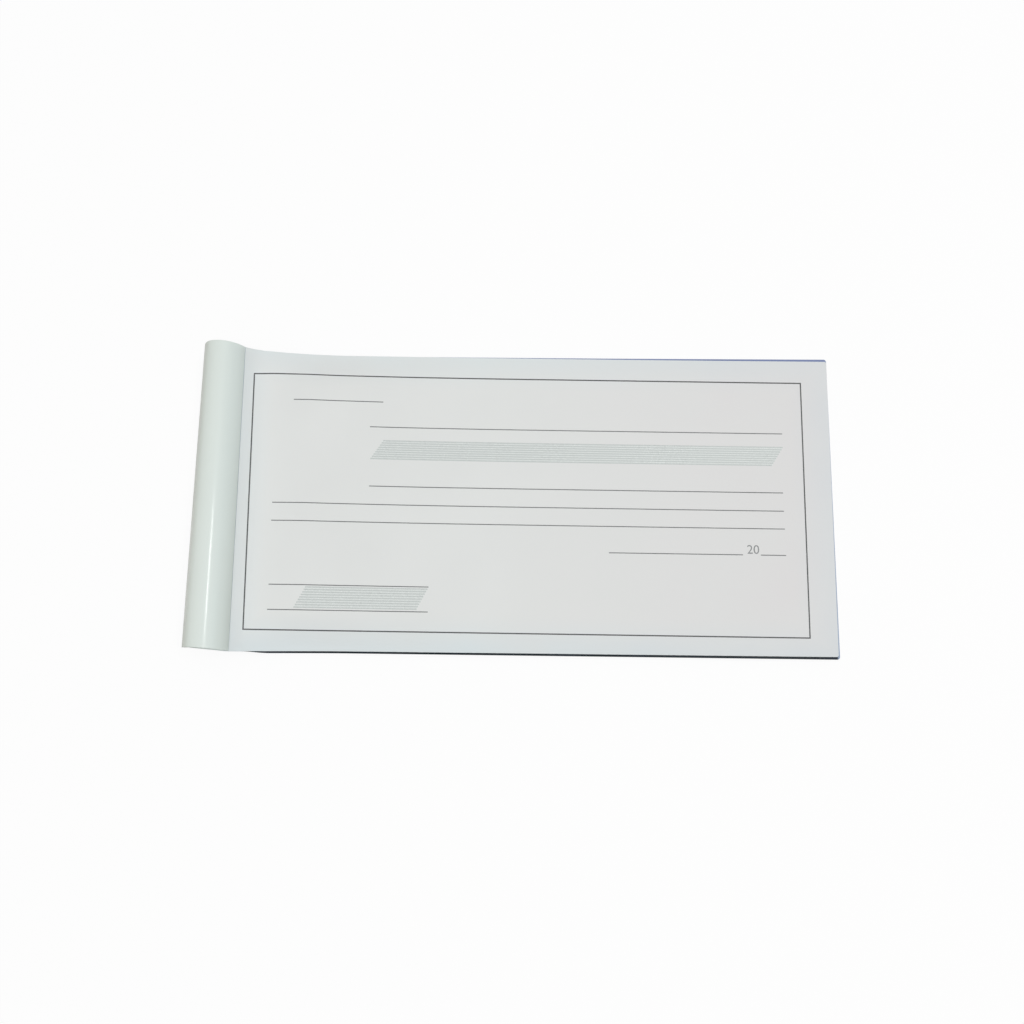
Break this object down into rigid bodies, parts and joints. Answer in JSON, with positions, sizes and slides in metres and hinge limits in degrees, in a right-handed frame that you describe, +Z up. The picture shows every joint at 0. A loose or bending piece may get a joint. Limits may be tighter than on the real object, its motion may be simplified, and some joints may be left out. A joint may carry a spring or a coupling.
{
  "type": "duplicate receipt book",
  "caption": "Slim stapled duplicate receipt book, open at a ruled form, glossy card cover folded back into a round roll along the spine.",
  "frame": {"origin": "centre of the book's outline on the table it lies on", "axes": "+X from the spine to the fore-edge, +Y to the far edge of the page, +Z up"},
  "size_m": [0.2114, 0.1016, 0.0186],
  "materials": {
    "original_paper": "uncoated white paper",
    "duplicate_paper": "uncoated pale blue paper",
    "carbon": "waxy dark blue carbon coating",
    "cover_card": "glossy coated card",
    "staple_steel": "drawn wire"
  },
  "bodies": {
    "book": {"back_cover": "cover_card", "cover_roll": "cover_card", "staples": "staple_steel", "original_01_stub": "original_paper", "duplicate_01_stub": "duplicate_paper", "original_02": "original_paper", "duplicate_02": "duplicate_paper", "original_03": "original_paper", "duplicate_03": "duplicate_paper", "original_04": "original_paper", "duplicate_04": "duplicate_paper", "original_05": "original_paper", "duplicate_05": "duplicate_paper", "original_06": "original_paper", "duplicate_06": "duplicate_paper", "original_07": "original_paper", "duplicate_07": "duplicate_paper", "original_08": "original_paper", "duplicate_08": "duplicate_paper", "original_09": "original_paper", "duplicate_09": "duplicate_paper", "original_10": "original_paper", "duplicate_10": "duplicate_paper", "original_11": "original_paper", "duplicate_11": "duplicate_paper", "original_12": "original_paper", "duplicate_12": "duplicate_paper", "original_13": "original_paper", "duplicate_13": "duplicate_paper", "original_14": "original_paper", "duplicate_14": "duplicate_paper", "original_15": "original_paper", "duplicate_15": "duplicate_paper", "original_16": "original_paper", "duplicate_16": "duplicate_paper", "original_17": "original_paper", "duplicate_17": "duplicate_paper", "original_18": "original_paper", "duplicate_18": "duplicate_paper", "original_19": "original_paper", "duplicate_19": "duplicate_paper", "original_20": "original_paper", "duplicate_20": "duplicate_paper", "original_21": "original_paper", "duplicate_21": "duplicate_paper", "original_22": "original_paper", "duplicate_22": "duplicate_paper", "original_23": "original_paper", "duplicate_23": "duplicate_paper", "original_24": "original_paper", "duplicate_24": "duplicate_paper", "original_25": "original_paper", "duplicate_25": "duplicate_paper"},
    "front_cover": {"front_cover_panel": "cover_card"},
    "duplicate_leaf": {"duplicate_01_leaf": "duplicate_paper"},
    "carbon": {"carbon_sheet": "carbon"},
    "original_leaf": {"original_01_leaf": "original_paper"}
  },
  "joints": [
    {"name": "cover_swing", "type": "hinge", "parent": "book", "child": "front_cover", "pos_m": [-0.09875, 0, 0.00932], "axis": [0, 1, 0], "range_deg": [0, 173], "deforming": ["cover_roll"]},
    {"name": "duplicate_turn", "type": "hinge", "parent": "book", "child": "duplicate_leaf", "pos_m": [-0.09172, 0, 0.01182], "axis": [0, -1, 0], "range_deg": [0, 40]},
    {"name": "original_turn", "type": "hinge", "parent": "duplicate_leaf", "child": "original_leaf", "pos_m": [-0.09172, 0, 0.01203], "axis": [0, -1, 0], "range_deg": [0, 95]},
    {"name": "carbon_slide", "type": "slide", "parent": "duplicate_leaf", "child": "carbon", "axis": [0, -1, 0], "range_m": [0, 0.095]}
  ]
}
